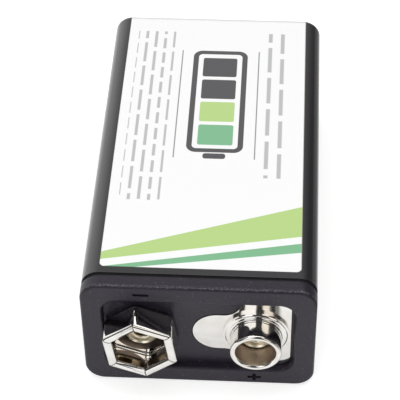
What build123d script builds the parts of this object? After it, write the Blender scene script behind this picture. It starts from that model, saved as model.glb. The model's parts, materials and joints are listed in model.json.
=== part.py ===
from build123d import *
import os
from math import cos, radians, tan

# Rechargeable nine volt battery with snap terminals, lying on its back. All lengths are in millimetres.
# Each piece is drawn standing on the battery's far end: +Z runs to the terminals, +Y to the label's front face
# and +X to the positive terminal. lay_down() then turns the battery on its back, so that the terminals point
# to -Y, the label's front faces +Z and the origin lies under the middle of the whole battery.

# Cells and the stack that they make
cell_count = 7
cell_width = 23.2
cell_thickness = 13.2
cell_height = 5.6
cell_corner = 2.5
cell_foot_bevel = 0.4
cell_crimp_bevel = 0.45
cell_lid_inset = 1.4
cell_lid_rise = 0.3
cell_seal_groove = 0.3
tab_gauge = 0.15
tab_length = 14.0
tab_width = 5.0
tab_corner = 1.2
tab_slit_length = 8.0
tab_slit_width = 0.6
sleeve_gauge = 0.15
sleeve_setback = 0.6

# Leads, card, pad and board
lead_gauge = 0.15
lead_width = 4.0
lead_bend = 0.3
lead_ramp = 0.75
lead_weld_length = 8.0
lead_end_margin = 2.5
lead_side_clearance = 0.05
card_thickness = 0.3
card_inset = 0.3
card_slot_clearance = 0.3
pad_thickness = 0.4
pad_clearance = 0.1
board_thickness = 0.8
board_clearance = 0.1
tail_room = 0.6

# Case, cap and label
stack_clearance = 0.15
case_wall = 0.8
case_floor = 1.0
case_corner = 2.2
case_foot_round = 0.9
neck_step = 0.2
groove_width = 0.55
label_film = 0.15
label_lip = 2.2
cap_rim = 1.6
cap_floor = 1.15
cap_edge_round = 0.3
cap_fit = 0.05
skirt_wall = 0.8
skirt_corner = 0.6
skirt_lead_clearance = 0.2
pocket_depth = 0.9
pocket_corner = 1.8
pocket_draft = 6.0
pocket_edge_round = 0.25
pocket_clearance = 0.12

# Terminals
terminal_spacing = 12.7
plate_gauge = 0.3
plate_seat_depth = 0.25
plate_seat_clearance = 0.12
plate_half_width = 5.2
plate_reach = 3.82
plate_corner = 1.4
plate_left_corner = 0.4
plate_shoulder = 1.75
plate_lobe_offset = 4.25
plate_lobe_radius = 2.8
plate_neck_round = 1.9
terminal_gauge = 0.3
terminal_bend = 0.18
stud_rise = 2.2
stud_radius = 2.84
stud_roll_gap = 0.04
stud_inner_draft = 0.2
stud_foot_bend = 0.32
stud_step_width = 0.4
stud_step_height = 0.14
stud_step_slope = 0.18
stud_flange_width = 0.28
socket_rise = 2.45
socket_outer_flat = 3.88
socket_petal_gap = 0.46
socket_turn = 8.0
socket_corner_round = 1.0
socket_pan_height = 0.95
socket_pan_bend = 0.5
socket_lip_depth = 1.6
socket_lip_flare = 0.15
socket_flare_length = 0.4
socket_bend = 0.3
socket_slit = 0.1
rivet_gauge = 0.2
rivet_bend = 0.15
rivet_barrel_radius = 1.0
rivet_head_gap = 0.15
rivet_head_curl = 0.2
rivet_tail_radius = 1.6
rivet_clearance = 0.05

# Sizes of the body, worked out from what it holds
stack_half_width = cell_width / 2 + sleeve_gauge
stack_half_thickness = cell_thickness / 2 + sleeve_gauge
bore_half_width = stack_half_width + lead_gauge + lead_side_clearance
bore_half_thickness = stack_half_thickness + stack_clearance
body_width = 2 * (bore_half_width + case_wall + label_film)
body_thickness = 2 * (bore_half_thickness + case_wall + label_film)

# Heights above the far end's face
floor_top_z = label_film + case_floor
pad_top_z = floor_top_z + pad_thickness
cells_bottom_z = pad_top_z + lead_gauge
cell_pitch = cell_height + tab_gauge
cells_top_z = cells_bottom_z + cell_count * cell_height + (cell_count - 1) * tab_gauge
card_bottom_z = cells_top_z + lead_gauge
card_top_z = card_bottom_z + card_thickness
upper_lead_bottom_z = card_top_z + lead_gauge + tail_room
board_bottom_z = upper_lead_bottom_z + lead_gauge
board_top_z = board_bottom_z + board_thickness
pocket_floor_z = board_top_z + cap_floor
end_face_z = pocket_floor_z + pocket_depth
cap_shoulder_z = end_face_z - cap_rim
label_end_z = cap_shoulder_z - groove_width
skirt_end_z = card_top_z + lead_gauge + skirt_lead_clearance
plate_bottom_z = pocket_floor_z - plate_seat_depth
plate_top_z = plate_bottom_z + plate_gauge

# Sheet folded on itself at the stud's rim and in the socket's petals, and the rivet's head that fits inside
stud_mouth_radius = stud_radius - 2 * terminal_gauge - stud_roll_gap
stud_floor_radius = stud_mouth_radius - stud_inner_draft
socket_inner_flat = socket_outer_flat - 2 * terminal_gauge - socket_petal_gap
rivet_head_radius = stud_floor_radius - rivet_head_gap

# Terminal axes, and the pocket that leaves room round both terminals
stud_x = terminal_spacing / 2
socket_x = -terminal_spacing / 2
socket_corner_radius = socket_outer_flat / cos(radians(30)) - socket_corner_round * (1 / cos(radians(30)) - 1)
socket_reach = socket_corner_radius * cos(radians(30 - socket_turn))
pocket_draft_inset = pocket_depth * tan(radians(pocket_draft))
seat_half_width = plate_half_width + plate_seat_clearance
terminal_reach = max(socket_reach, plate_reach + plate_seat_clearance)
pocket_half_length = terminal_spacing / 2 + terminal_reach + pocket_clearance + pocket_draft_inset
pocket_half_width = seat_half_width + pocket_clearance + pocket_draft_inset
rivet_hole_radius = rivet_barrel_radius + rivet_clearance


def lay_down(piece):
    """Turns a standing piece on its back, with the origin under the middle of the whole battery."""
    middle = (end_face_z + max(socket_rise, stud_rise)) / 2
    return Pos(0, middle, body_thickness / 2) * Rot(90, 0, 0) * piece


def block(half_width, half_thickness, bottom, top, corner):
    """Upright block with rounded corners."""
    outline = RectangleRounded(2 * half_width, 2 * half_thickness, corner)
    return extrude(Plane.XY.offset(bottom) * outline, top - bottom)


def drill(piece, *centres):
    """Drills the rivets' holes right through a piece."""
    for x in centres:
        piece -= Pos(x, 0, end_face_z / 2) * Cylinder(rivet_hole_radius, 2 * end_face_z)
    return piece


def sheet_side(points, bends, shift):
    """One face of a bent sheet: its middle line moved sideways, with the bends grown or shrunk to match."""
    points = [Vector(*point) for point in points]
    runs = [(end - start).normalized() for start, end in zip(points, points[1:])]
    normals = [Vector(-run.Y, run.X) for run in runs]
    moved = [points[0] + normals[0] * shift]
    radii = []
    for i, bend in enumerate(bends):
        mitre = (normals[i] + normals[i + 1]) / (1 + normals[i].dot(normals[i + 1]))
        moved.append(points[i + 1] + mitre * shift)
        turns_left = runs[i].cross(runs[i + 1]).Z > 0
        radii.append(bend - shift if turns_left else bend + shift)
    moved.append(points[-1] + normals[-1] * shift)
    return FilletPolyline(*moved, radius=radii)


def sheet_section(points, gauge, bends):
    """Section of a bent sheet in the XZ plane, from its middle line and the middle radius of each bend."""
    left = sheet_side(points, bends, gauge / 2)
    right = sheet_side(points, bends, -gauge / 2)
    ends = [Line(left @ 1, right @ 1), Line(left @ 0, right @ 0)]
    return Plane.XZ * make_face([*left.edges(), *right.edges(), *ends])


def strip(points, gauge, bend):
    """Section of a strip that has the same radius at every bend."""
    return sheet_section(points, gauge, [bend] * (len(points) - 2))


def turned(points, gauge, bends):
    """Drawn sheet turned round the Z axis, from the middle line of its wall as radius and height."""
    return revolve(sheet_section(points, gauge, bends), Axis.Z)


def skin(inset, top):
    """Outer form of the body, inset from its true surface, from the far end up to a height."""
    half_width = body_width / 2 - inset
    half_thickness = body_thickness / 2 - inset
    form = block(half_width, half_thickness, inset, top, case_corner - inset)
    return fillet(form.edges().group_by(Axis.Z)[0], case_foot_round - inset)


def make_case():
    """Moulded box, closed at the far end, with a neck that the cap sits on."""
    case = skin(label_film, cap_shoulder_z)
    neck_inset = label_film + neck_step
    band = block(body_width, body_thickness, label_end_z, end_face_z, case_corner)
    band -= block(body_width / 2 - neck_inset, body_thickness / 2 - neck_inset, label_end_z, end_face_z,
                  case_corner - neck_inset)
    bore_corner = case_corner - label_film - case_wall
    bore = block(bore_half_width, bore_half_thickness, floor_top_z, end_face_z, bore_corner)
    return case - band - bore


def make_label():
    """Shrink film round the four sides, turned over the far end in a lip."""
    opening = block(body_width / 2 - label_lip, body_thickness / 2 - label_lip, -label_film, case_floor,
                    case_corner)
    return skin(0, label_end_z) - skin(label_film, end_face_z) - opening


def plate_outline(grow):
    """Outline of the positive plate, grown all round: a main part with a round lobe towards the middle."""
    right = stud_x + plate_reach
    left = stud_x - plate_shoulder
    lobe_x = stud_x - plate_lobe_offset
    main = Pos((left + right) / 2, 0) * Rectangle(right - left, 2 * plate_half_width)
    lobe = Pos(lobe_x, 0) * Circle(plate_lobe_radius)
    neck = Pos((lobe_x + stud_x) / 2, 0) * Rectangle(stud_x - lobe_x, 2 * plate_lobe_radius)
    shoulder = plate_half_width - plate_lobe_radius - plate_left_corner
    rounds = [
        (right, plate_half_width, plate_corner),
        (left, plate_half_width, plate_left_corner),
        (left, plate_lobe_radius, min(plate_neck_round, 0.95 * shoulder)),
    ]
    outline = main + lobe + neck
    for x, y, radius in rounds:
        corners = [v for v in outline.vertices() if abs(v.X - x) < 0.001 and abs(abs(v.Y) - y) < 0.001]
        outline = fillet(corners, radius)
    return offset(outline, grow) if grow else outline


def make_end_cap():
    """Moulded end with a pocket for the terminals, a seat for the plate and a skirt inside the case."""
    rim = block(body_width / 2, body_thickness / 2, cap_shoulder_z, end_face_z, case_corner)
    rim = fillet(rim.edges().group_by(Axis.Z)[-1], cap_edge_round)
    plug_corner = case_corner - label_film - case_wall - cap_fit
    plug_half_width = bore_half_width - cap_fit
    plug_half_thickness = bore_half_thickness - cap_fit
    plug = block(plug_half_width, plug_half_thickness, skirt_end_z, cap_shoulder_z, plug_corner)
    plug -= block(plug_half_width - skirt_wall, plug_half_thickness - skirt_wall, skirt_end_z, board_top_z,
                  skirt_corner)
    mouth = RectangleRounded(2 * pocket_half_length, 2 * pocket_half_width, pocket_corner)
    pocket = extrude(Plane.XY.offset(end_face_z) * mouth, -pocket_depth, taper=pocket_draft)
    cap = rim + plug - pocket
    mouth_edges = [edge for edge in cap.edges().group_by(Axis.Z)[-1]
                   if abs(edge.center().X) < pocket_half_length + 0.001
                   and abs(edge.center().Y) < pocket_half_width + 0.001]
    cap = fillet(mouth_edges, pocket_edge_round)
    seat = extrude(Plane.XY.offset(plate_bottom_z) * plate_outline(plate_seat_clearance), pocket_depth)
    return drill(cap - seat, stud_x, socket_x)


def make_plate():
    """Flat contact plate under the stud."""
    plate = extrude(Plane.XY.offset(plate_bottom_z) * plate_outline(0), plate_gauge)
    return drill(plate, stud_x)


def make_stud():
    """Snap stud: a riveted floor, a wall up to the rolled rim and back down, and a flange with a coined step."""
    half = terminal_gauge / 2
    top = end_face_z + stud_rise - plate_top_z - half
    roll = (terminal_gauge + stud_roll_gap) / 2
    step_edge = stud_radius + stud_step_width
    flange_start = step_edge + stud_step_slope
    wall = [
        (rivet_hole_radius, half),
        (stud_floor_radius + half, half),
        (stud_mouth_radius + half, top),
        (stud_radius - half, top),
        (stud_radius - half, half + stud_step_height),
        (step_edge, half + stud_step_height),
        (flange_start, half),
        (flange_start + stud_flange_width, half),
    ]
    bends = [terminal_bend, roll, roll, stud_foot_bend, terminal_bend, terminal_bend]
    return Pos(stud_x, 0, plate_top_z) * turned(wall, terminal_gauge, bends)


def hexagon(flat):
    """Regular hexagon given by its distance to a flat, with a flat towards +X."""
    return RegularPolygon(flat, 6, major_radius=False, rotation=30)


def make_petal(height):
    """One of the socket's petals, towards +X: wall up, fold over the top, lip down with a flared end."""
    half = terminal_gauge / 2
    outer = socket_outer_flat - half
    inner = socket_inner_flat + half
    top = height - half
    lip_end = height - socket_lip_depth
    section = strip([
        (outer, socket_pan_height - half),
        (outer, top),
        (inner, top),
        (inner, lip_end + socket_flare_length),
        (inner + socket_lip_flare, lip_end),
    ], terminal_gauge, socket_bend)
    petal = extrude(section, 2 * socket_outer_flat, both=True)
    reach = 2 * socket_outer_flat
    wedge = make_face(Polyline((0, 0), (reach, reach * tan(radians(30))), (reach, -reach * tan(radians(30))),
                               close=True))
    return petal & extrude(wedge, height)


def make_socket():
    """Snap socket: a hexagonal pan with a riveted floor, and six folded petals parted by slits."""
    height = end_face_z + socket_rise - pocket_floor_z
    prism = extrude(hexagon(socket_outer_flat), height)
    prism = fillet(prism.edges().filter_by(Axis.Z), socket_corner_round)
    bore = extrude(Plane.XY.offset(terminal_gauge) * hexagon(socket_outer_flat - terminal_gauge), height)
    bore = fillet(bore.edges().filter_by(Axis.Z), socket_corner_round - terminal_gauge)
    bore = fillet(bore.edges().group_by(Axis.Z)[0], socket_pan_bend - terminal_gauge / 2)
    pan = prism & Pos(0, 0, socket_pan_height / 2) * Box(4 * socket_outer_flat, 4 * socket_outer_flat,
                                                         socket_pan_height)
    pan = fillet(pan.edges().group_by(Axis.Z)[0], socket_pan_bend + terminal_gauge / 2)
    petals = PolarLocations(0, 6) * make_petal(height)
    ring = prism & Compound(petals).fuse()
    slit_height = height - socket_pan_height
    slit = Pos(socket_outer_flat, 0, socket_pan_height + slit_height / 2) * Box(
        2 * socket_outer_flat, socket_slit, slit_height)
    for place in PolarLocations(0, 6, start_angle=30):
        ring -= place * slit
    socket = (pan - bore) + ring - Cylinder(rivet_hole_radius, 4 * terminal_gauge)
    return Pos(socket_x, 0, pocket_floor_z) * Rot(0, 0, socket_turn) * socket


def make_rivet(x, seat_z):
    """Hollow rivet: a dished head with a curled rim, a barrel and a tail clinched under the lead."""
    half = rivet_gauge / 2
    tail_z = upper_lead_bottom_z - half
    head_z = seat_z + half
    barrel = rivet_barrel_radius - half
    section = [
        (rivet_head_radius - half, head_z + rivet_head_curl),
        (rivet_head_radius - half - rivet_head_curl, head_z),
        (barrel, head_z),
        (barrel, tail_z),
        (rivet_tail_radius, tail_z),
    ]
    return Pos(x, 0, 0) * turned(section, rivet_gauge, [rivet_bend] * 3)


def make_board():
    """Fibre board under the cap, clamped by both rivets."""
    inset = cap_fit + skirt_wall + board_clearance
    board = block(bore_half_width - inset, bore_half_thickness - inset, board_bottom_z, board_top_z,
                  skirt_corner)
    return drill(board, stud_x, socket_x)


def make_positive_lead():
    """Strip from under the lowest cell, up the side of the stack and over its top to the positive rivet."""
    half = lead_gauge / 2
    side = stack_half_width + half
    ramp_start = bore_half_width - cap_fit - skirt_wall - skirt_lead_clearance
    section = strip([
        (side - lead_weld_length, pad_top_z + half),
        (side, pad_top_z + half),
        (side, card_top_z + half),
        (ramp_start, card_top_z + half),
        (ramp_start - lead_ramp, upper_lead_bottom_z + half),
        (stud_x - lead_end_margin, upper_lead_bottom_z + half),
    ], lead_gauge, lead_bend)
    return drill_top(extrude(section, lead_width / 2, both=True), stud_x)


def negative_fold_x():
    """Where the negative lead steps up, beyond its rivet's tail."""
    return socket_x + lead_end_margin + lead_ramp


def make_negative_lead():
    """Stepped strip from the top cell's lid, up through the card's slot and over to the negative rivet."""
    half = lead_gauge / 2
    fold = negative_fold_x()
    section = strip([
        (fold + lead_weld_length, cells_top_z + half),
        (fold, cells_top_z + half),
        (fold, upper_lead_bottom_z + half),
        (socket_x - lead_end_margin, upper_lead_bottom_z + half),
    ], lead_gauge, lead_bend)
    return drill_top(extrude(section, lead_width / 2, both=True), socket_x)


def drill_top(lead, x):
    """Drills a lead's hole only in its upper run, which the rivet clamps."""
    return lead - Pos(x, 0, upper_lead_bottom_z) * Cylinder(rivet_hole_radius, 4 * lead_gauge)


def make_card():
    """Insulating card on the stack, with a slot for the negative lead."""
    card = block(cell_width / 2 - card_inset, cell_thickness / 2 - card_inset, card_bottom_z, card_top_z,
                 cell_corner - card_inset)
    slot = Box(lead_gauge + 2 * card_slot_clearance, lead_width + 2 * card_slot_clearance, card_thickness)
    return card - Pos(negative_fold_x(), 0, (card_bottom_z + card_top_z) / 2) * slot


def make_pad():
    """Soft pad on the case's floor, under the stack."""
    corner = case_corner - label_film - case_wall
    return block(bore_half_width - pad_clearance, bore_half_thickness - pad_clearance, floor_top_z, pad_top_z,
                 corner)


def make_stack_sleeve():
    """Thin tube that holds the cells together."""
    bottom = cells_bottom_z + sleeve_setback
    top = cells_top_z - sleeve_setback
    tube = block(stack_half_width, stack_half_thickness, bottom, top, cell_corner + sleeve_gauge)
    return tube - block(cell_width / 2, cell_thickness / 2, bottom, top, cell_corner)


def make_cell(bottom):
    """Sealed flat cell: a can crimped over a seal, with a raised lid."""
    rim_z = bottom + cell_height - cell_lid_rise
    can = block(cell_width / 2, cell_thickness / 2, bottom, rim_z, cell_corner)
    can = chamfer(can.edges().group_by(Axis.Z)[0], cell_foot_bevel)
    can = chamfer(can.edges().group_by(Axis.Z)[-1], cell_crimp_bevel)
    lid_half_width = cell_width / 2 - cell_lid_inset
    lid_half_thickness = cell_thickness / 2 - cell_lid_inset
    seal = block(lid_half_width + cell_seal_groove, lid_half_thickness + cell_seal_groove,
                 rim_z - cell_seal_groove, rim_z, cell_corner - cell_lid_inset + cell_seal_groove)
    lid = block(lid_half_width, lid_half_thickness, rim_z - cell_seal_groove, rim_z + cell_lid_rise,
                cell_corner - cell_lid_inset)
    return can - seal + lid


def make_cell_tab(bottom):
    """Nickel tab welded between two cells, slit down its middle for the weld."""
    tab = block(tab_length / 2, tab_width / 2, bottom, bottom + tab_gauge, tab_corner)
    slit = extrude(Plane.XY.offset(bottom) * SlotOverall(tab_slit_length, tab_slit_width), tab_gauge)
    return tab - slit


pieces = {
    "case": make_case(),
    "end_cap": make_end_cap(),
    "label_sleeve": make_label(),
    "positive_plate": make_plate(),
    "positive_stud": make_stud(),
    "positive_rivet": make_rivet(stud_x, plate_top_z + terminal_gauge),
    "negative_socket": make_socket(),
    "negative_rivet": make_rivet(socket_x, pocket_floor_z + terminal_gauge),
    "terminal_board": make_board(),
    "positive_lead": make_positive_lead(),
    "negative_lead": make_negative_lead(),
    "top_card": make_card(),
    "bottom_pad": make_pad(),
    "stack_sleeve": make_stack_sleeve(),
}
for number in range(1, cell_count + 1):
    cell_bottom = cells_bottom_z + (number - 1) * cell_pitch
    pieces[f"cell_{number}"] = make_cell(cell_bottom)
    if number < cell_count:
        pieces[f"cell_tab_{number}"] = make_cell_tab(cell_bottom + cell_height)

os.makedirs("parts", exist_ok=True)
for name, piece in pieces.items():
    export_step(lay_down(piece), f"parts/{name}.step")
print(f"body {body_width:.2f} x {body_thickness:.2f} x {end_face_z:.2f} mm, {len(pieces)} pieces")
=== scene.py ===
import json
from math import cos, degrees, pi, radians, sin

import bmesh
import bpy
from mathutils import Matrix, Vector


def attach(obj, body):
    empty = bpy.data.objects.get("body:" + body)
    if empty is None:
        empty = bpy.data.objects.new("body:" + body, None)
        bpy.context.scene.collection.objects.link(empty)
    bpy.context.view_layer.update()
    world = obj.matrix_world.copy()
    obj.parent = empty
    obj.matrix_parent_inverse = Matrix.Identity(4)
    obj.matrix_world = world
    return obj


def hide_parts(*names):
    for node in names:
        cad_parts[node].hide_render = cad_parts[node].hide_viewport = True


# A rechargeable nine volt battery on its back: the front face points up (+Z) and the terminals point to -Y.
# Lengths are in metres, and those written with mm are in millimetres.
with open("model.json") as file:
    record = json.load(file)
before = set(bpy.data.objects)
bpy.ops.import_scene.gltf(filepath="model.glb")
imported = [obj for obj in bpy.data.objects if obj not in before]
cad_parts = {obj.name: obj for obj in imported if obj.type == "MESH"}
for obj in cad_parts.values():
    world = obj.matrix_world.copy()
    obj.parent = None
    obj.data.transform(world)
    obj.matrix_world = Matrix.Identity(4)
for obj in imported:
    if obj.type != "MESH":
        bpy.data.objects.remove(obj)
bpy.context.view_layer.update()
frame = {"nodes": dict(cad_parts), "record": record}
cad = frame["nodes"]
mm = 0.001

# Places on the battery
end_face_y = -21.775 * mm
body_side_x = 12.9 * mm
body_top_z = 15.7 * mm
stud_axis = (6.35 * mm, 0, 7.85 * mm)
stud_bore_radius = 2.35 * mm
stud_rim_y = -23.975 * mm
socket_axis = (-6.35 * mm, 0, 7.85 * mm)
socket_bore_radius = 3.2 * mm
socket_corner_radius = 4.25 * mm
socket_rim_y = -24.225 * mm
film_seam_x = 3.5 * mm

# Marks sunk into the cap's face
mark_depth = 0.6 * mm
mark_stroke = 0.36 * mm
minus_place = Vector((-6.2 * mm, end_face_y, 14.5 * mm))
minus_length = 1.75 * mm
plus_place = Vector((6.2 * mm, end_face_y, 1.15 * mm))
plus_length = 1.55 * mm
plus_height = 1.24 * mm

# Edges that are broken or worn round
mark_corner = 0.12 * mm
film_edge = 0.04 * mm
petal_edge = 0.17 * mm

# Printed panel on the front, in millimetres. It runs off the far end
panel_left, panel_right = -10.85, 11.0
panel_near, panel_far = -18.7, 30.0
panel_corner = 0.5

# The photograph's camera: its width and focal length in pixels, its turns in degrees and its place in millimetres
photo_width = 400
focal_length = 1656.5785
camera_yaw, camera_pitch, camera_roll = -3.9356, -45.6004, -1.0466
camera_place = (8.4678, -138.6045, 149.0858)


def colour(code):
    """Linear colour from the six hex digits that a paint chart gives."""
    channels = [int(code[i:i + 2], 16) / 255 for i in (0, 2, 4)]
    return [c / 12.92 if c <= 0.04045 else ((c + 0.055) / 1.055) ** 2.4 for c in channels] + [1.0]


# Nodes of materials

def node(tree, kind, inputs=None, **settings):
    """Adds a node and fills its inputs, by name or number, with values or with other nodes' outputs."""
    made = tree.nodes.new(kind)
    for name, value in settings.items():
        setattr(made, name, value)
    for name, value in (inputs or {}).items():
        if isinstance(value, bpy.types.NodeSocket):
            tree.links.new(value, made.inputs[name])
        else:
            made.inputs[name].default_value = value
    return made


def calculate(tree, operation, *values):
    """One step of arithmetic between numbers or sockets."""
    return node(tree, "ShaderNodeMath", dict(enumerate(values)), operation=operation).outputs[0]


def product(tree, value, *factors):
    """Numbers or sockets multiplied together."""
    for factor in factors:
        value = calculate(tree, "MULTIPLY", value, factor)
    return value


def place_step(tree, operation, *values):
    """One step of arithmetic between places."""
    return node(tree, "ShaderNodeVectorMath", dict(enumerate(values)), operation=operation).outputs[0]


def coordinates(tree, place):
    """The X, Y and Z of a place, or the parts of a colour."""
    return node(tree, "ShaderNodeSeparateXYZ", {0: place}).outputs[:3]


def blend_colours(tree, mask, below, above):
    """The colour below where the mask is 0, and the colour above where it is 1."""
    return node(tree, "ShaderNodeMix", {0: mask, 6: below, 7: above}, data_type="RGBA").outputs[2]


def between(tree, value, low, high, new_low=0.0, new_high=1.0):
    """Maps a value from one range to another, held inside the new range."""
    return node(tree, "ShaderNodeMapRange", {"Value": value, "From Min": low, "From Max": high,
                                              "To Min": new_low, "To Max": new_high}).outputs["Result"]


def new_group(name, inputs, outputs):
    """An empty node group with named inputs and outputs."""
    group = bpy.data.node_groups.new(name, "ShaderNodeTree")
    for socket, kind, value in inputs:
        made = group.interface.new_socket(socket, in_out="INPUT", socket_type=kind)
        if value is not None:
            made.default_value = value
    for socket, kind in outputs:
        group.interface.new_socket(socket, in_out="OUTPUT", socket_type=kind)
    return group, group.nodes.new("NodeGroupInput").outputs, group.nodes.new("NodeGroupOutput").inputs


def make_grain_group():
    """Fine grain: an even bumpiness and scattered specks, both of a given size."""
    group, given, result = new_group(
        "fine grain",
        [("Place", "NodeSocketVector", None), ("Size", "NodeSocketFloat", 0.1 * mm),
         ("Speck Share", "NodeSocketFloat", 0.3)],
        [("Height", "NodeSocketFloat"), ("Specks", "NodeSocketFloat")])
    scale = calculate(group, "DIVIDE", 1.0, given["Size"])
    noise = node(group, "ShaderNodeTexNoise",
                 {"Vector": given["Place"], "Scale": scale, "Detail": 3.0, "Roughness": 0.6})
    group.links.new(noise.outputs[0], result["Height"])
    spots = node(group, "ShaderNodeTexVoronoi", {"Vector": given["Place"], "Scale": scale, "Randomness": 1.0})
    luck = coordinates(group, spots.outputs["Color"])[0]
    chosen = calculate(group, "GREATER_THAN", luck, calculate(group, "SUBTRACT", 1.0, given["Speck Share"]))
    core, rim = 0.1, 0.4
    near = between(group, spots.outputs["Distance"], core, rim, 1.0, 0.0)
    group.links.new(product(group, chosen, near), result["Specks"])
    return group


def make_handling_group():
    """Marks of handling on metal: fine scratches along one axis, and clouds of smudges."""
    lean, squeeze, clouds_per_metre = radians(28), 0.06, 700.0
    group, given, result = new_group(
        "handling marks",
        [("Place", "NodeSocketVector", None), ("Scratch Size", "NodeSocketFloat", 0.05 * mm)],
        [("Scratches", "NodeSocketFloat"), ("Smudges", "NodeSocketFloat")])
    stretched = node(group, "ShaderNodeMapping", {"Vector": given["Place"], "Rotation": (0, lean, 0),
                                                   "Scale": (1.0, 1.0, squeeze)}).outputs[0]
    scale = calculate(group, "DIVIDE", 1.0, given["Scratch Size"])
    lines = node(group, "ShaderNodeTexNoise", {"Vector": stretched, "Scale": scale, "Detail": 2.0}).outputs[0]
    group.links.new(between(group, lines, 0.55, 0.75), result["Scratches"])
    clouds = node(group, "ShaderNodeTexNoise",
                  {"Vector": given["Place"], "Scale": clouds_per_metre, "Detail": 2.0}).outputs[0]
    group.links.new(between(group, clouds, 0.35, 0.65), result["Smudges"])
    return group


def make_box_group():
    """Printed box with rounded corners: 1 inside it and 0 outside, seen from above."""
    group, given, result = new_group(
        "printed box",
        [("Place", "NodeSocketVector", None), ("Centre", "NodeSocketVector", None),
         ("Half Size", "NodeSocketVector", None), ("Corner", "NodeSocketFloat", 0.0),
         ("Softness", "NodeSocketFloat", 0.02 * mm)],
        [("Mask", "NodeSocketFloat")])
    away = place_step(group, "ABSOLUTE", place_step(group, "SUBTRACT", given["Place"], given["Centre"]))
    beyond = coordinates(group, place_step(group, "SUBTRACT", away, given["Half Size"]))
    out_x, out_y = (calculate(group, "MAXIMUM", calculate(group, "ADD", part, given["Corner"]), 0.0)
                    for part in beyond[:2])
    square = calculate(group, "ADD", product(group, out_x, out_x), product(group, out_y, out_y))
    distance = calculate(group, "SUBTRACT", calculate(group, "SQRT", square), given["Corner"])
    group.links.new(between(group, distance, 0.0, given["Softness"], 1.0, 0.0), result["Mask"])
    return group


grain_group = make_grain_group()
handling_group = make_handling_group()
box_group = make_box_group()


def use_group(tree, group, inputs):
    """Places a node group and returns its outputs."""
    return node(tree, "ShaderNodeGroup", inputs, node_tree=group).outputs


def use_grain(tree, place, size, speck_share):
    """Grain of a given size, as its height and its specks."""
    return use_group(tree, grain_group, {"Place": place, "Size": size, "Speck Share": speck_share})


def use_handling(tree, place, scratch_size):
    """Handling marks, as scratches and smudges."""
    return use_group(tree, handling_group, {"Place": place, "Scratch Size": scratch_size})


def by_grain(tree, grain, low=0.0, high=1.0):
    """A value from low to high that follows the grain's height over its usual range."""
    usual_low, usual_high = 0.3, 0.7
    return between(tree, grain["Height"], usual_low, usual_high, low, high)


def new_material(name, **finish):
    """A material with the shader's own plain values set. Returns it with its shader and the object's coordinates."""
    material = bpy.data.materials.new(name)
    material.use_nodes = True
    shader = material.node_tree.nodes["Principled BSDF"]
    for socket, value in finish.items():
        shader.inputs[socket.replace("_", " ")].default_value = value
    place = node(material.node_tree, "ShaderNodeTexCoord").outputs["Object"]
    return material, material.node_tree, shader, place


def connect(tree, shader, **sources):
    """Connects outputs to the shader's inputs."""
    for socket, source in sources.items():
        tree.links.new(source, shader.inputs[socket.replace("_", " ")])


def bump(tree, height, depth, strength=1.0):
    """Normal from a height of 0 to 1 that stands for a depth in metres."""
    return node(tree, "ShaderNodeBump", {"Height": height, "Distance": depth, "Strength": strength}).outputs[0]


def lighter_edge_spots(tree, place, grain):
    """1 in spots along the edge where the cap's end face turns into its outer sides, and 0 elsewhere."""
    inner, outer = 0.7 * mm, 0.5 * mm
    start, full_start, full_end, end = 0.1 * mm, 0.2 * mm, 0.4 * mm, 0.52 * mm
    spot_low, spot_high = 0.5, 0.62
    across, along, height = coordinates(tree, place)
    on_top = between(tree, height, body_top_z - inner, body_top_z - outer)
    on_side = between(tree, calculate(tree, "ABSOLUTE", across), body_side_x - inner, body_side_x - outer)
    past_face = between(tree, along, end_face_y + start, end_face_y + full_start)
    before_side = between(tree, along, end_face_y + end, end_face_y + full_end)
    spots = between(tree, grain["Height"], spot_low, spot_high)
    return product(tree, past_face, before_side, calculate(tree, "MAXIMUM", on_top, on_side), spots)


def make_cap_plastic():
    """Black plastic from a spark eroded mould: satin and finely rough, with painted glints as faint light specks,
    and lighter spots along its front edges.
    """
    painted_glint_strength, glint_polish, edge_spot_strength, spot_strength = 0.16, 0.15, 0.3, 0.2
    material, tree, shader, place = new_material(
        "cap plastic", Specular_IOR_Level=0.37, Specular_Tint=(0.95, 0.92, 1.0, 1.0))
    grain = use_grain(tree, place, size=0.13 * mm, speck_share=0.22)
    worn_spots = use_grain(tree, place, size=0.27 * mm, speck_share=0.05)["Specks"]
    shade = blend_colours(tree, by_grain(tree, grain), colour("18161c"), colour("2e2a35"))
    # Painted highlights: the specks are lightened in colour as glints, as well as polished.
    shade = blend_colours(tree, product(tree, grain["Specks"], painted_glint_strength), shade, colour("8a888e"))
    # Lighter in spots along the edge where the end face turns into the sides, and in scattered worn spots.
    pale_spots = calculate(tree, "MAXIMUM", product(tree, lighter_edge_spots(tree, place, grain), edge_spot_strength),
                     product(tree, worn_spots, spot_strength))
    shade = blend_colours(tree, pale_spots, shade, colour("a19fa5"))
    roughness = calculate(tree, "SUBTRACT", by_grain(tree, grain, 0.28, 0.42),
                          product(tree, grain["Specks"], glint_polish))
    connect(tree, shader, Base_Color=shade, Roughness=roughness,
            Normal=bump(tree, grain["Height"], depth=0.035 * mm, strength=0.55))
    return material


def make_case_plastic():
    """Plain black moulded plastic with a faint grain."""
    material, tree, shader, place = new_material("case plastic", Specular_IOR_Level=0.3)
    grain = use_grain(tree, place, size=0.3 * mm, speck_share=0.1)
    connect(tree, shader, Base_Color=blend_colours(tree, grain["Height"], colour("2f2d30"), colour("3b393d")),
            Roughness=by_grain(tree, grain, 0.45, 0.6),
            Normal=bump(tree, grain["Height"], depth=0.02 * mm, strength=0.5))
    return material


# The label's print. Its sizes and places are in millimetres, and its angles in degrees

def printed_box(tree, place, left, right, near, far, corner=0.0, softness=0.04):
    """Mask of a box printed on the front."""
    return use_group(tree, box_group, {
        "Place": place, "Centre": ((left + right) / 2 * mm, (near + far) / 2 * mm, 0),
        "Half Size": ((right - left) / 2 * mm, (far - near) / 2 * mm, 1),
        "Corner": corner * mm, "Softness": softness * mm})["Mask"]


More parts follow.
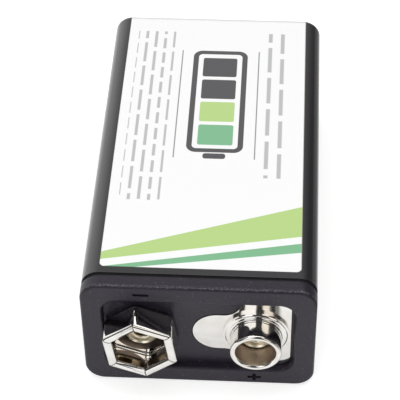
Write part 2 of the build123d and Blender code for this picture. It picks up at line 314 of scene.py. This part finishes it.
def turned_place(tree, place, y, angle):
    """The print's coordinates turned about a point of the front's middle line, for slanting edges."""
    centred = place_step(tree, "SUBTRACT", place, (0, y * mm, 0))
    return node(tree, "ShaderNodeMapping", {"Vector": centred, "Rotation": (0, 0, radians(-angle))}).outputs[0]


def printed_band(tree, place, y, width_left, width_right, slope):
    """Mask of a slanting band across the panel that tapers from one end to the other."""
    outside = 20
    taper = degrees((width_right - width_left) / (panel_right - panel_left))
    near_edge = turned_place(tree, place, y, slope)
    far_edge = turned_place(tree, place, y + (width_left + width_right) / 2, slope + taper)
    return product(tree, printed_box(tree, near_edge, -outside, outside, 0, outside),
                   printed_box(tree, far_edge, -outside, outside, -outside, 0))


def printed_lines(tree, place, left, right, near, far, pitch, gap, dash):
    """Mask of fine broken lines along the battery, that fill a box."""
    turned = node(tree, "ShaderNodeMapping", {"Vector": place, "Rotation": (0, 0, radians(90)),
                                               "Scale": (1 / mm, 1 / mm, 1 / mm)}).outputs[0]
    bricks = node(tree, "ShaderNodeTexBrick",
                  {"Vector": turned, "Scale": 1.0, "Mortar Size": gap / 2, "Mortar Smooth": 0.2,
                   "Brick Width": dash, "Row Height": pitch},
                  offset=0.37, squash=0.62, squash_frequency=3)
    inked = calculate(tree, "SUBTRACT", 1.0, bricks.outputs["Fac"])
    return product(tree, inked, printed_box(tree, place, left, right, near, far))


def print_level_sign(tree, place, below):
    """A battery's level sign: an outline with a nub, and four blocks inside."""
    left, right, near, far = -2.6, 4.0, -0.5, 17.5
    stroke, outer_corner, inner_corner = 0.65, 1.1, 0.5
    nub_width, nub_length, nub_gap, nub_corner = 2.6, 0.85, 0.2, 0.3
    block_length, block_gap, block_corner = 3.4, 0.6, 0.25
    grey, block_inks = "4b4a4d", ("7dbb8e", "b9d886", "4b4a4d", "4b4a4d")
    outline = calculate(
        tree, "SUBTRACT", printed_box(tree, place, left, right, near, far, outer_corner),
        printed_box(tree, place, left + stroke, right - stroke, near + stroke, far - stroke, inner_corner))
    middle = (left + right) / 2
    nub_far = near - nub_gap
    nub = printed_box(tree, place, middle - nub_width / 2, middle + nub_width / 2,
                      nub_far - nub_length, nub_far, nub_corner)
    inked = blend_colours(tree, calculate(tree, "MAXIMUM", outline, nub), below, colour(grey))
    inset = stroke + block_gap
    for number, ink in enumerate(block_inks):
        start = near + inset + number * (block_length + block_gap)
        block = printed_box(tree, place, left + inset, right - inset, start, start + block_length, block_corner)
        inked = blend_colours(tree, block, inked, colour(ink))
    return inked


def print_design(tree, place, paper):
    """The panel's plain design: two green bands, a level sign, fine broken lines and two thin rules."""
    wide_band = printed_band(tree, place, y=-15.6, width_left=1.2, width_right=4.4, slope=11)
    thin_band = printed_band(tree, place, y=-17.6, width_left=0.5, width_right=1.3, slope=9)
    inked = blend_colours(tree, wide_band, paper, colour("b9d886"))
    inked = blend_colours(tree, thin_band, inked, colour("7dbb8e"))
    inked = print_level_sign(tree, place, inked)
    lines = calculate(
        tree, "MAXIMUM",
        printed_lines(tree, place, left=-9.7, right=-5.1, near=-8.5, far=21.0, pitch=1.15, gap=0.88, dash=4.4),
        printed_lines(tree, place, left=6.4, right=9.4, near=-4.5, far=21.0, pitch=1.5, gap=1.14, dash=5.6))
    line_strength = 0.55
    inked = blend_colours(tree, product(tree, lines, line_strength), inked, colour("6f6f72"))
    rules = calculate(tree, "MAXIMUM", printed_box(tree, place, left=5.35, right=5.45, near=-1.5, far=17.5),
                      printed_box(tree, place, left=-4.05, right=-3.95, near=-1.5, far=17.5))
    return blend_colours(tree, rules, inked, colour("8d8d90"))


def make_label_film():
    """Glossy black shrink film, with a white panel on the front that carries a plain printed design."""
    material, tree, shader, place = new_material(
        "label film", Specular_IOR_Level=0.5, Coat_Weight=0.5, Coat_Roughness=0.12)
    across, along, height = coordinates(tree, place)
    grain = use_grain(tree, place, size=0.25 * mm, speck_share=0.05)
    front_start, front_full = body_top_z - 2.3 * mm, body_top_z - 2.25 * mm
    back_start, back_full = 0.5 * mm, 0.4 * mm
    on_front = between(tree, height, front_start, front_full)
    on_back = between(tree, height, back_start, back_full)

    paper = blend_colours(tree, grain["Height"], colour("f8f9f9"), colour("fdfdfd"))
    # Painted shade: the white paper is greyed where the film turns over the far end, standing in for the bend's
    # shading.
    fold_start_y, fold_full_y = 23.2 * mm, 23.8 * mm
    fold_low_z, fold_high_z = body_top_z - 1.2 * mm, body_top_z - 0.7 * mm
    far_fold_painted_shade = product(tree, between(tree, along, fold_start_y, fold_full_y),
                       between(tree, height, fold_low_z, fold_high_z))
    paper = blend_colours(tree, far_fold_painted_shade, paper, colour("c4c6c8"))
    inked = print_design(tree, place, paper)

    film = blend_colours(tree, grain["Height"], colour("1b191c"), colour("211e22"))
    line_width, line_start, under_panel = 0.07, 0.3, 1.0
    edge_line = printed_box(tree, place, panel_right - under_panel, panel_right + line_width,
                            panel_near + line_start, panel_far)
    film = blend_colours(tree, product(tree, edge_line, on_front), film, colour("9c958a"))

    panel = printed_box(tree, place, panel_left, panel_right, panel_near, panel_far, panel_corner, softness=0.06)
    seam_half_width, grain_relief = 0.02 * mm, 0.1
    past_seam = between(tree, across, film_seam_x - seam_half_width, film_seam_x + seam_half_width)
    relief = calculate(tree, "ADD", product(tree, grain["Height"], grain_relief), product(tree, past_seam, on_back))
    connect(tree, shader, Base_Color=blend_colours(tree, product(tree, panel, on_front), film, inked),
            Roughness=by_grain(tree, grain, 0.16, 0.24), Normal=bump(tree, relief, depth=0.03 * mm, strength=0.5))
    return material


# Metals, and the materials inside the battery

def inside_bore(tree, place, axis, radius, rim_y):
    """1 inside a terminal's bore, behind its rim, and 0 outside it."""
    softness, lip, full_depth = 0.05 * mm, 0.2 * mm, 0.5 * mm
    away = place_step(tree, "MULTIPLY", place_step(tree, "SUBTRACT", place, axis), (1, 0, 1))
    distance = node(tree, "ShaderNodeVectorMath", {0: away}, operation="LENGTH").outputs["Value"]
    depth = coordinates(tree, place)[1]
    near_axis = between(tree, distance, radius - softness, radius + softness, 1.0, 0.0)
    return product(tree, near_axis, between(tree, depth, rim_y + lip, rim_y + full_depth))


def make_contact_nickel():
    """Bright nickel plate, faintly scratched, with painted brown reflection inside the stud and the socket, and
    painted shade that darkens deeper into the socket.
    """
    deep_start, deep_full, stud_dullness, deep_dullness = 0.9 * mm, 1.8 * mm, 0.3, 0.24
    material, tree, shader, place = new_material("contact nickel", Metallic=1.0)
    marks = use_handling(tree, place, scratch_size=0.06 * mm)
    stud_bore = inside_bore(tree, place, stud_axis, stud_bore_radius, stud_rim_y)
    socket_bore = inside_bore(tree, place, socket_axis, socket_bore_radius, socket_rim_y)
    depth = coordinates(tree, place)[1]
    deep = product(tree, socket_bore, between(tree, depth, socket_rim_y + deep_start, socket_rim_y + deep_full))
    shade = blend_colours(tree, marks["Smudges"], colour("eae8e5"), colour("e2dfda"))
    # Painted reflection and shade: the bores are tinted brown for light bounced inside them, and the socket darkens
    # with depth.
    shade = blend_colours(tree, stud_bore, shade, colour("d3c6bd"))
    socket_painted_shade = blend_colours(tree, deep, colour("cabfb4"), colour("7a6e65"))
    shade = blend_colours(tree, socket_bore, shade, socket_painted_shade)
    dull = calculate(tree, "MAXIMUM", product(tree, stud_bore, stud_dullness),
                     product(tree, deep, deep_dullness))
    polish = between(tree, marks["Smudges"], 0.0, 1.0, 0.06, 0.11)
    connect(tree, shader, Base_Color=shade, Roughness=calculate(tree, "ADD", polish, dull),
            Normal=bump(tree, marks["Scratches"], depth=0.001 * mm, strength=0.15))
    return material


def make_rivet_metal():
    """Plated brass, warmer than the contacts."""
    material, tree, shader, place = new_material("rivet metal", Metallic=1.0)
    marks = use_handling(tree, place, scratch_size=0.05 * mm)
    shade = blend_colours(tree, marks["Smudges"], colour("f2ead2"), colour("e6dcc0"))
    connect(tree, shader, Base_Color=shade, Roughness=between(tree, marks["Smudges"], 0.0, 1.0, 0.25, 0.4),
            Normal=bump(tree, marks["Scratches"], depth=0.001 * mm, strength=0.2))
    return material


def make_plain_metal(name, light, dark, low, high):
    """Rolled sheet metal inside the battery, between two colours and two roughnesses."""
    material, tree, shader, place = new_material(name, Metallic=1.0)
    marks = use_handling(tree, place, scratch_size=0.1 * mm)
    shade = blend_colours(tree, marks["Smudges"], colour(light), colour(dark))
    connect(tree, shader, Base_Color=shade, Roughness=between(tree, marks["Scratches"], 0.0, 1.0, low, high),
            Normal=bump(tree, marks["Scratches"], depth=0.004 * mm, strength=0.5))
    return material


def make_grained(name, light, dark, size, low, high, depth):
    """Fibre, foam or film inside the battery, with its own size and depth of grain and range of roughness."""
    material, tree, shader, place = new_material(name)
    grain = use_grain(tree, place, size, speck_share=0.2)
    connect(tree, shader, Base_Color=blend_colours(tree, by_grain(tree, grain), colour(dark), colour(light)),
            Roughness=by_grain(tree, grain, low, high), Normal=bump(tree, grain["Height"], depth, strength=0.6))
    return material


materials = {
    "cap_plastic": make_cap_plastic(),
    "case_plastic": make_case_plastic(),
    "label_film": make_label_film(),
    "contact_nickel": make_contact_nickel(),
    "rivet_metal": make_rivet_metal(),
    "lead_nickel": make_plain_metal("lead nickel", "cfccc5", "bdbab2", low=0.22, high=0.34),
    "cell_steel": make_plain_metal("cell steel", "c6c7c8", "b1b2b3", low=0.25, high=0.4),
    "board_fibre": make_grained("board fibre", "7a3f22", "5f2f18", 0.2 * mm, low=0.55, high=0.75, depth=0.02 * mm),
    "pad_foam": make_grained("pad foam", "4b4b4d", "2e2e30", 0.35 * mm, low=0.85, high=0.95, depth=0.08 * mm),
    "sleeve_film": make_grained("sleeve film", "3f6f9c", "37638d", 0.5 * mm, low=0.2, high=0.3, depth=0.005 * mm),
}


def coat(piece, slot):
    """Gives a piece the material of one of the record's slots, all over."""
    piece.data.materials.clear()
    piece.data.materials.append(materials[slot])


for part in frame["record"]["subparts"]:
    coat(cad[part["node"]], part["material_slot"])


# Modelling

def only(piece):
    """Selects one piece and nothing else."""
    bpy.ops.object.select_all(action="DESELECT")
    piece.select_set(True)
    bpy.context.view_layer.objects.active = piece


def merged_copy(name, of_node):
    """A copy of a CAD node whose loose triangles are joined, into one face where they are flat."""
    same_point, flat_angle = 0.0005 * mm, radians(0.2)
    piece = cad[of_node].copy()
    piece.data = cad[of_node].data.copy()
    piece.name = name
    piece.parent = None
    bpy.context.scene.collection.objects.link(piece)
    for key in [k for k in piece.keys() if k.startswith("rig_")]:
        del piece[key]
    only(piece)
    bpy.ops.object.mode_set(mode="EDIT")
    bpy.ops.mesh.select_all(action="SELECT")
    bpy.ops.mesh.remove_doubles(threshold=same_point)
    bpy.ops.mesh.dissolve_limited(angle_limit=flat_angle)
    bpy.ops.object.mode_set(mode="OBJECT")
    return piece


def round_edges(piece, chosen, width, **settings):
    """Rounds the edges of a piece that a test chooses."""
    only(piece)
    bpy.ops.object.mode_set(mode="EDIT")
    bpy.ops.mesh.select_all(action="DESELECT")
    shape = bmesh.from_edit_mesh(piece.data)
    for edge in shape.edges:
        edge.select = chosen(edge)
    bmesh.update_edit_mesh(piece.data)
    bpy.ops.mesh.bevel(offset=width, segments=4, affect="EDGES", **settings)
    bpy.ops.object.mode_set(mode="OBJECT")


def runs_inwards(edge):
    """Whether an edge of a bar runs along the battery."""
    ends = edge.verts[0].co - edge.verts[1].co
    return abs(ends.y) > abs(ends.x) + abs(ends.z)


def bar(name, place, length, height, depth):
    """A bar with rounded ends, to cut a mark with."""
    bpy.ops.mesh.primitive_cube_add(size=1, location=place)
    piece = bpy.context.object
    piece.name = name
    piece.scale = (length, 2 * depth, height)
    bpy.ops.object.transform_apply(location=True, rotation=True, scale=True)
    round_edges(piece, runs_inwards, mark_corner)
    return piece


def cut(piece, *cutters):
    """Cuts pieces out of another one and removes them."""
    for cutter in cutters:
        only(piece)
        modifier = piece.modifiers.new("cut", "BOOLEAN")
        modifier.operation = "DIFFERENCE"
        modifier.solver = "EXACT"
        modifier.object = cutter
        bpy.ops.object.modifier_apply(modifier="cut")
        bpy.data.objects.remove(cutter)


def smooth(piece):
    """Smooth shading up to 30 degrees, with flat faces kept flat up to their rounded edges."""
    only(piece)
    bpy.ops.object.shade_smooth_by_angle(angle=radians(30))
    weighted = piece.modifiers.new("flat faces", "WEIGHTED_NORMAL")
    weighted.keep_sharp = True
    bpy.ops.object.modifier_apply(modifier="flat faces")


def stand_for(piece, of_node, slot):
    """Puts a finished piece in the place of a CAD node."""
    coat(piece, slot)
    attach(piece, "root")
    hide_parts(of_node)


def make_marked_cap():
    """The moulded end cap, with the minus and the plus sunk into its face."""
    cap = merged_copy("marked_end_cap", "end_cap")
    cut(cap,
        bar("minus", minus_place, minus_length, mark_stroke, mark_depth),
        bar("plus_across", plus_place, plus_length, mark_stroke, mark_depth),
        bar("plus_upright", plus_place, mark_stroke, plus_height, mark_depth))
    smooth(cap)
    stand_for(cap, "end_cap", "cap_plastic")


def make_trimmed_film():
    """The label's film, with its cut edges broken so that they catch the light."""
    film = merged_copy("trimmed_film", "label_sleeve")
    only(film)
    edges = film.modifiers.new("cut edges", "BEVEL")
    edges.width = film_edge
    edges.segments = 2
    edges.limit_method = "ANGLE"
    edges.angle_limit = radians(50)
    bpy.ops.object.modifier_apply(modifier="cut edges")
    smooth(film)
    stand_for(film, "label_sleeve", "label_film")


def is_petal_edge(edge):
    """Whether an edge of the socket runs up a petal's outer face, beside a slit."""
    upright, shortest, sharp = 0.999, 0.5 * mm, radians(50)
    start, end = edge.verts[0].co, edge.verts[1].co
    away = (start + end) / 2 - Vector(socket_axis)
    away.y = 0
    straight = abs((end - start).normalized().y) > upright and edge.calc_length() > shortest
    return straight and away.length > socket_corner_radius and edge.calc_face_angle(0) > sharp


def make_eased_socket():
    """The hexagonal socket, with the long edges of its petals worn round at the six outer corners."""
    socket = merged_copy("eased_socket", "negative_socket")
    round_edges(socket, is_petal_edge, petal_edge, clamp_overlap=True)
    smooth(socket)
    stand_for(socket, "negative_socket", "contact_nickel")


make_marked_cap()
make_trimmed_film()
make_eased_socket()


# Floor, lights and camera

def make_floor():
    """A white floor that keeps a soft shadow, and that shiny parts see as white, but as dark on the far right."""
    seen_glow, mirrored_glow, paleness = 0.55, 0.35, 0.75
    dim_from_x, dim_to_x, dimming = 16 * mm, 32 * mm, 0.7
    bpy.ops.object.select_all(action="DESELECT")
    bpy.ops.mesh.primitive_plane_add(size=4, location=(0, 0, 0))
    floor = bpy.context.object
    floor.name = "floor"
    material = bpy.data.materials.new("floor paper")
    material.use_nodes = True
    tree = material.node_tree
    tree.nodes.clear()
    ray = node(tree, "ShaderNodeLightPath").outputs
    across = coordinates(tree, node(tree, "ShaderNodeTexCoord").outputs["Object"])[0]
    far_right = between(tree, across, dim_from_x, dim_to_x)
    unlit = product(tree, far_right, ray["Is Glossy Ray"], dimming)
    seen = calculate(tree, "MAXIMUM", ray["Is Camera Ray"], ray["Is Transmission Ray"])
    glow = calculate(tree, "MAXIMUM", product(tree, seen, seen_glow),
                     product(tree, ray["Is Glossy Ray"], mirrored_glow))
    glow = product(tree, glow, calculate(tree, "SUBTRACT", 1.0, unlit))
    light = node(tree, "ShaderNodeEmission", {"Color": (1, 1, 1, 1), "Strength": glow})
    shade = blend_colours(tree, unlit, (paleness, paleness, paleness, 1), (0, 0, 0, 1))
    paper = node(tree, "ShaderNodeBsdfDiffuse", {"Color": shade})
    both = node(tree, "ShaderNodeAddShader", {0: light.outputs[0], 1: paper.outputs[0]})
    node(tree, "ShaderNodeOutputMaterial", {"Surface": both.outputs[0]})
    floor.data.materials.append(material)


def make_world():
    """A pale room for plain light, which shiny parts see as dark in front and dim behind."""
    seen_strength, plain_strength, dark_front = 1.0, 0.6, 0.05
    world = bpy.data.worlds.new("studio")
    bpy.context.scene.world = world
    world.use_nodes = True
    tree = world.node_tree
    ray = node(tree, "ShaderNodeLightPath").outputs
    sideways, behind, _ = coordinates(tree, node(tree, "ShaderNodeTexCoord").outputs["Generated"])
    # The wall behind is brightest on the left and falls off to the right
    bright_left, middle, dark_right = 1.2, 0.75, 0.16
    back_wall = product(tree, between(tree, sideways, -0.6, -0.2, bright_left, middle),
                        between(tree, sideways, 0.25, 0.65, 1.0, dark_right))
    shiny = between(tree, behind, -0.2, 0.4, dark_front, back_wall)
    plain = node(tree, "ShaderNodeMix", {0: ray["Is Glossy Ray"], 2: plain_strength, 3: shiny}).outputs[0]
    strength = node(tree, "ShaderNodeMix", {0: ray["Is Camera Ray"], 2: plain, 3: seen_strength}).outputs[0]
    tree.links.new(strength, tree.nodes["Background"].inputs["Strength"])
    tree.nodes["Background"].inputs["Color"].default_value = (1, 1, 1, 1)


def make_lamp(name, direction, distance, width, height, radiance, tint=(1, 1, 1)):
    """A softbox that faces the terminals, with the brightness that a mirror would show."""
    lamp = bpy.data.lights.new(name, "AREA")
    lamp.shape = "RECTANGLE"
    lamp.size = width
    lamp.size_y = height
    lamp.energy = radiance * width * height * pi
    lamp.color = tint
    holder = bpy.data.objects.new(name, lamp)
    bpy.context.scene.collection.objects.link(holder)
    away = Vector(direction).normalized()
    holder.location = Vector((0, end_face_y, body_top_z / 2)) + away * distance
    holder.rotation_euler = away.to_track_quat("Z", "Y").to_euler()


def in_front(lean):
    """Direction halfway up in front of the battery, leaning to the right by an angle in degrees."""
    return 0.7 * sin(radians(lean)), -0.71, 0.7 * cos(radians(lean))


def make_camera():
    """The photograph's camera, above and in front of the terminals."""
    camera = bpy.data.cameras.new("camera")
    camera.sensor_width = 36
    camera.lens = focal_length * camera.sensor_width / photo_width
    camera.clip_start, camera.clip_end = 0.01, 20
    holder = bpy.data.objects.new("camera", camera)
    bpy.context.scene.collection.objects.link(holder)
    yaw, pitch, roll = radians(camera_yaw), radians(camera_pitch), radians(camera_roll)
    ahead = Vector((sin(yaw) * cos(pitch), cos(yaw) * cos(pitch), sin(pitch)))
    right = ahead.cross(Vector((0, 0, 1))).normalized()
    up = right.cross(ahead)
    turned_right = right * cos(roll) + up * sin(roll)
    turned_up = up * cos(roll) - right * sin(roll)
    turn = Matrix((turned_right, turned_up, -ahead)).transposed().to_4x4()
    holder.matrix_world = Matrix.Translation(Vector(camera_place) * mm) @ turn
    bpy.context.scene.camera = holder


make_floor()
make_world()
make_lamp("key softbox", in_front(-31), distance=0.6, width=0.33, height=0.5, radiance=1.4)
make_lamp("fill softbox", in_front(50), distance=0.6, width=0.16, height=0.5, radiance=1.35, tint=(1, 0.95, 0.88))
make_lamp("overhead softbox", (0, 0.2, 0.98), distance=0.7, width=0.9, height=0.45, radiance=1.5)
make_camera()
bpy.context.scene.view_settings.view_transform = "Standard"
